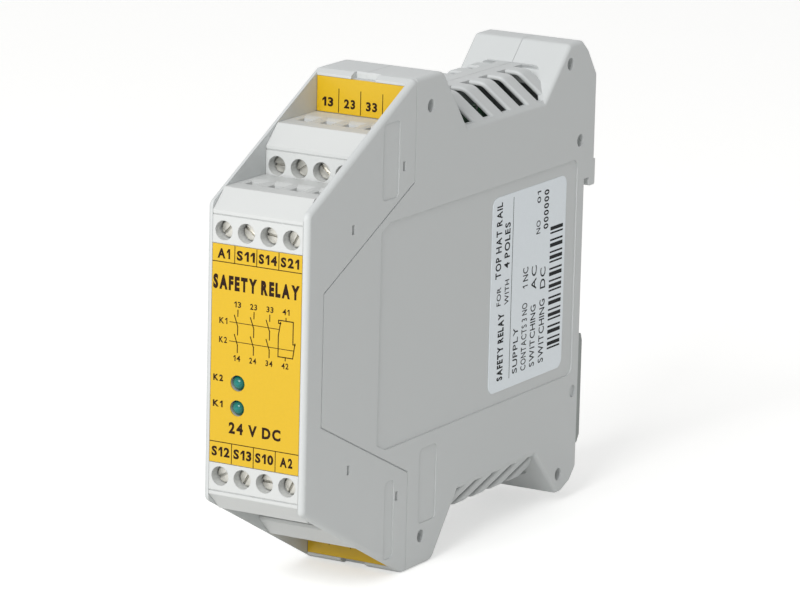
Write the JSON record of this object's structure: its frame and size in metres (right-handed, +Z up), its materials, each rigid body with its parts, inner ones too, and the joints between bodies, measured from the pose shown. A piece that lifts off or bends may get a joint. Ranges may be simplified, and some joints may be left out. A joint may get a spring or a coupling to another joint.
{
  "type": "safety relay",
  "caption": "Narrow safety relay module for a top-hat rail, with a sloped grey housing, yellow label, indicator lights, screw terminals, vents and a sprung foot latch.",
  "frame": {"origin": "centre of the rail seat: the point on the plane that bears on the rail, at mid-width and at the rail's centre line", "axes": "+Y points from the front face towards the rail, +Z up, X along the rail; +X is the side with the rating sticker"},
  "size_m": [0.0226, 0.1148, 0.099],
  "materials": {
    "housing_grey": "fine matt moulded plastic",
    "block_grey": "fine matt moulded plastic",
    "label_yellow": "printed film, satin",
    "sticker_silver": "silver-grey printed film",
    "latch_grey": "moulded plastic",
    "screw_steel": "nickel-plated steel",
    "cage_steel": "zinc-plated steel",
    "spring_steel": "spring steel wire",
    "contact_brass": "tinned brass",
    "board_green": "solder-masked glass-fibre board",
    "relay_case": "black moulded relay case",
    "capacitor_can": "sleeved aluminium can",
    "fuse_yellow": "dipped coating",
    "rectifier_black": "black epoxy",
    "led_green": "tinted green lens"
  },
  "bodies": {
    "housing": {"shell_left": "housing_grey", "shell_right": "housing_grey", "front_hood": "housing_grey", "circuit_board": "board_green", "relay_k1": "relay_case", "relay_k2": "relay_case", "capacitor": "capacitor_can", "disc_fuse": "fuse_yellow", "rectifier": "rectifier_black", "led_k1": "led_green", "led_k2": "led_green", "front_label": "label_yellow", "side_sticker": "sticker_silver", "marking_strip_upper": "label_yellow", "marking_strip_lower": "label_yellow", "terminal_block_upper_front": "block_grey", "contact_bars_upper_front": "contact_brass", "terminal_block_upper_rear": "block_grey", "contact_bars_upper_rear": "contact_brass", "terminal_block_lower_front": "block_grey", "contact_bars_lower_front": "contact_brass", "terminal_block_lower_rear": "block_grey", "contact_bars_lower_rear": "contact_brass", "latch_spring": "spring_steel"},
    "screw_a1": {"screw_a1": "screw_steel"},
    "cage_a1": {"cage_a1": "cage_steel"},
    "screw_s11": {"screw_s11": "screw_steel"},
    "cage_s11": {"cage_s11": "cage_steel"},
    "screw_s14": {"screw_s14": "screw_steel"},
    "cage_s14": {"cage_s14": "cage_steel"},
    "screw_s21": {"screw_s21": "screw_steel"},
    "cage_s21": {"cage_s21": "cage_steel"},
    "screw_13": {"screw_13": "screw_steel"},
    "cage_13": {"cage_13": "cage_steel"},
    "screw_23": {"screw_23": "screw_steel"},
    "cage_23": {"cage_23": "cage_steel"},
    "screw_33": {"screw_33": "screw_steel"},
    "cage_33": {"cage_33": "cage_steel"},
    "screw_41": {"screw_41": "screw_steel"},
    "cage_41": {"cage_41": "cage_steel"},
    "screw_s12": {"screw_s12": "screw_steel"},
    "cage_s12": {"cage_s12": "cage_steel"},
    "screw_s13": {"screw_s13": "screw_steel"},
    "cage_s13": {"cage_s13": "cage_steel"},
    "screw_s10": {"screw_s10": "screw_steel"},
    "cage_s10": {"cage_s10": "cage_steel"},
    "screw_a2": {"screw_a2": "screw_steel"},
    "cage_a2": {"cage_a2": "cage_steel"},
    "screw_14": {"screw_14": "screw_steel"},
    "cage_14": {"cage_14": "cage_steel"},
    "screw_24": {"screw_24": "screw_steel"},
    "cage_24": {"cage_24": "cage_steel"},
    "screw_34": {"screw_34": "screw_steel"},
    "cage_34": {"cage_34": "cage_steel"},
    "screw_42": {"screw_42": "screw_steel"},
    "cage_42": {"cage_42": "cage_steel"},
    "foot_latch": {"foot_latch": "latch_grey"}
  },
  "joints": [
    {"name": "screw_turn_a1", "type": "hinge", "parent": "housing", "child": "screw_a1", "pos_m": [-0.0075, -0.1085, 0.0236], "axis": [0, 1, 0], "range_deg": [0, 1800]},
    {"name": "cage_lift_a1", "type": "slide", "parent": "housing", "child": "cage_a1", "axis": [0, -1, 0], "range_m": [0, 0.0025]},
    {"name": "screw_turn_s11", "type": "hinge", "parent": "housing", "child": "screw_s11", "pos_m": [-0.0025, -0.1085, 0.0236], "axis": [0, 1, 0], "range_deg": [0, 1800]},
    {"name": "cage_lift_s11", "type": "slide", "parent": "housing", "child": "cage_s11", "axis": [0, -1, 0], "range_m": [0, 0.0025]},
    {"name": "screw_turn_s14", "type": "hinge", "parent": "housing", "child": "screw_s14", "pos_m": [0.0025, -0.1085, 0.0236], "axis": [0, 1, 0], "range_deg": [0, 1800]},
    {"name": "cage_lift_s14", "type": "slide", "parent": "housing", "child": "cage_s14", "axis": [0, -1, 0], "range_m": [0, 0.0025]},
    {"name": "screw_turn_s21", "type": "hinge", "parent": "housing", "child": "screw_s21", "pos_m": [0.0075, -0.1085, 0.0236], "axis": [0, 1, 0], "range_deg": [0, 1800]},
    {"name": "cage_lift_s21", "type": "slide", "parent": "housing", "child": "cage_s21", "axis": [0, -1, 0], "range_m": [0, 0.0025]},
    {"name": "screw_turn_13", "type": "hinge", "parent": "housing", "child": "screw_13", "pos_m": [-0.0075, -0.0896, 0.033], "axis": [0, 1, 0], "range_deg": [0, 1800]},
    {"name": "cage_lift_13", "type": "slide", "parent": "housing", "child": "cage_13", "axis": [0, -1, 0], "range_m": [0, 0.0025]},
    {"name": "screw_turn_23", "type": "hinge", "parent": "housing", "child": "screw_23", "pos_m": [-0.0025, -0.0896, 0.033], "axis": [0, 1, 0], "range_deg": [0, 1800]},
    {"name": "cage_lift_23", "type": "slide", "parent": "housing", "child": "cage_23", "axis": [0, -1, 0], "range_m": [0, 0.0025]},
    {"name": "screw_turn_33", "type": "hinge", "parent": "housing", "child": "screw_33", "pos_m": [0.0025, -0.0896, 0.033], "axis": [0, 1, 0], "range_deg": [0, 1800]},
    {"name": "cage_lift_33", "type": "slide", "parent": "housing", "child": "cage_33", "axis": [0, -1, 0], "range_m": [0, 0.0025]},
    {"name": "screw_turn_41", "type": "hinge", "parent": "housing", "child": "screw_41", "pos_m": [0.0075, -0.0896, 0.033], "axis": [0, 1, 0], "range_deg": [0, 1800]},
    {"name": "cage_lift_41", "type": "slide", "parent": "housing", "child": "cage_41", "axis": [0, -1, 0], "range_m": [0, 0.0025]},
    {"name": "screw_turn_s12", "type": "hinge", "parent": "housing", "child": "screw_s12", "pos_m": [-0.0075, -0.1085, -0.0246], "axis": [0, 1, 0], "range_deg": [0, 1800]},
    {"name": "cage_lift_s12", "type": "slide", "parent": "housing", "child": "cage_s12", "axis": [0, -1, 0], "range_m": [0, 0.0025]},
    {"name": "screw_turn_s13", "type": "hinge", "parent": "housing", "child": "screw_s13", "pos_m": [-0.0025, -0.1085, -0.0246], "axis": [0, 1, 0], "range_deg": [0, 1800]},
    {"name": "cage_lift_s13", "type": "slide", "parent": "housing", "child": "cage_s13", "axis": [0, -1, 0], "range_m": [0, 0.0025]},
    {"name": "screw_turn_s10", "type": "hinge", "parent": "housing", "child": "screw_s10", "pos_m": [0.0025, -0.1085, -0.0246], "axis": [0, 1, 0], "range_deg": [0, 1800]},
    {"name": "cage_lift_s10", "type": "slide", "parent": "housing", "child": "cage_s10", "axis": [0, -1, 0], "range_m": [0, 0.0025]},
    {"name": "screw_turn_a2", "type": "hinge", "parent": "housing", "child": "screw_a2", "pos_m": [0.0075, -0.1085, -0.0246], "axis": [0, 1, 0], "range_deg": [0, 1800]},
    {"name": "cage_lift_a2", "type": "slide", "parent": "housing", "child": "cage_a2", "axis": [0, -1, 0], "range_m": [0, 0.0025]},
    {"name": "screw_turn_14", "type": "hinge", "parent": "housing", "child": "screw_14", "pos_m": [-0.0075, -0.0896, -0.034], "axis": [0, 1, 0], "range_deg": [0, 1800]},
    {"name": "cage_lift_14", "type": "slide", "parent": "housing", "child": "cage_14", "axis": [0, -1, 0], "range_m": [0, 0.0025]},
    {"name": "screw_turn_24", "type": "hinge", "parent": "housing", "child": "screw_24", "pos_m": [-0.0025, -0.0896, -0.034], "axis": [0, 1, 0], "range_deg": [0, 1800]},
    {"name": "cage_lift_24", "type": "slide", "parent": "housing", "child": "cage_24", "axis": [0, -1, 0], "range_m": [0, 0.0025]},
    {"name": "screw_turn_34", "type": "hinge", "parent": "housing", "child": "screw_34", "pos_m": [0.0025, -0.0896, -0.034], "axis": [0, 1, 0], "range_deg": [0, 1800]},
    {"name": "cage_lift_34", "type": "slide", "parent": "housing", "child": "cage_34", "axis": [0, -1, 0], "range_m": [0, 0.0025]},
    {"name": "screw_turn_42", "type": "hinge", "parent": "housing", "child": "screw_42", "pos_m": [0.0075, -0.0896, -0.034], "axis": [0, 1, 0], "range_deg": [0, 1800]},
    {"name": "cage_lift_42", "type": "slide", "parent": "housing", "child": "cage_42", "axis": [0, -1, 0], "range_m": [0, 0.0025]},
    {"name": "latch_slide", "type": "slide", "parent": "housing", "child": "foot_latch", "axis": [0, 0, -1], "range_m": [0, 0.0033], "stiffness_N_per_m": 3000, "springref_m": -0.003, "deforming": ["latch_spring"]}
  ],
  "couplings": [
    {"joint": "screw_turn_a1", "follows": "cage_lift_a1", "rad_per_m": 12566},
    {"joint": "screw_turn_s11", "follows": "cage_lift_s11", "rad_per_m": 12566},
    {"joint": "screw_turn_s14", "follows": "cage_lift_s14", "rad_per_m": 12566},
    {"joint": "screw_turn_s21", "follows": "cage_lift_s21", "rad_per_m": 12566},
    {"joint": "screw_turn_13", "follows": "cage_lift_13", "rad_per_m": 12566},
    {"joint": "screw_turn_23", "follows": "cage_lift_23", "rad_per_m": 12566},
    {"joint": "screw_turn_33", "follows": "cage_lift_33", "rad_per_m": 12566},
    {"joint": "screw_turn_41", "follows": "cage_lift_41", "rad_per_m": 12566},
    {"joint": "screw_turn_s12", "follows": "cage_lift_s12", "rad_per_m": 12566},
    {"joint": "screw_turn_s13", "follows": "cage_lift_s13", "rad_per_m": 12566},
    {"joint": "screw_turn_s10", "follows": "cage_lift_s10", "rad_per_m": 12566},
    {"joint": "screw_turn_a2", "follows": "cage_lift_a2", "rad_per_m": 12566},
    {"joint": "screw_turn_14", "follows": "cage_lift_14", "rad_per_m": 12566},
    {"joint": "screw_turn_24", "follows": "cage_lift_24", "rad_per_m": 12566},
    {"joint": "screw_turn_34", "follows": "cage_lift_34", "rad_per_m": 12566},
    {"joint": "screw_turn_42", "follows": "cage_lift_42", "rad_per_m": 12566}
  ]
}
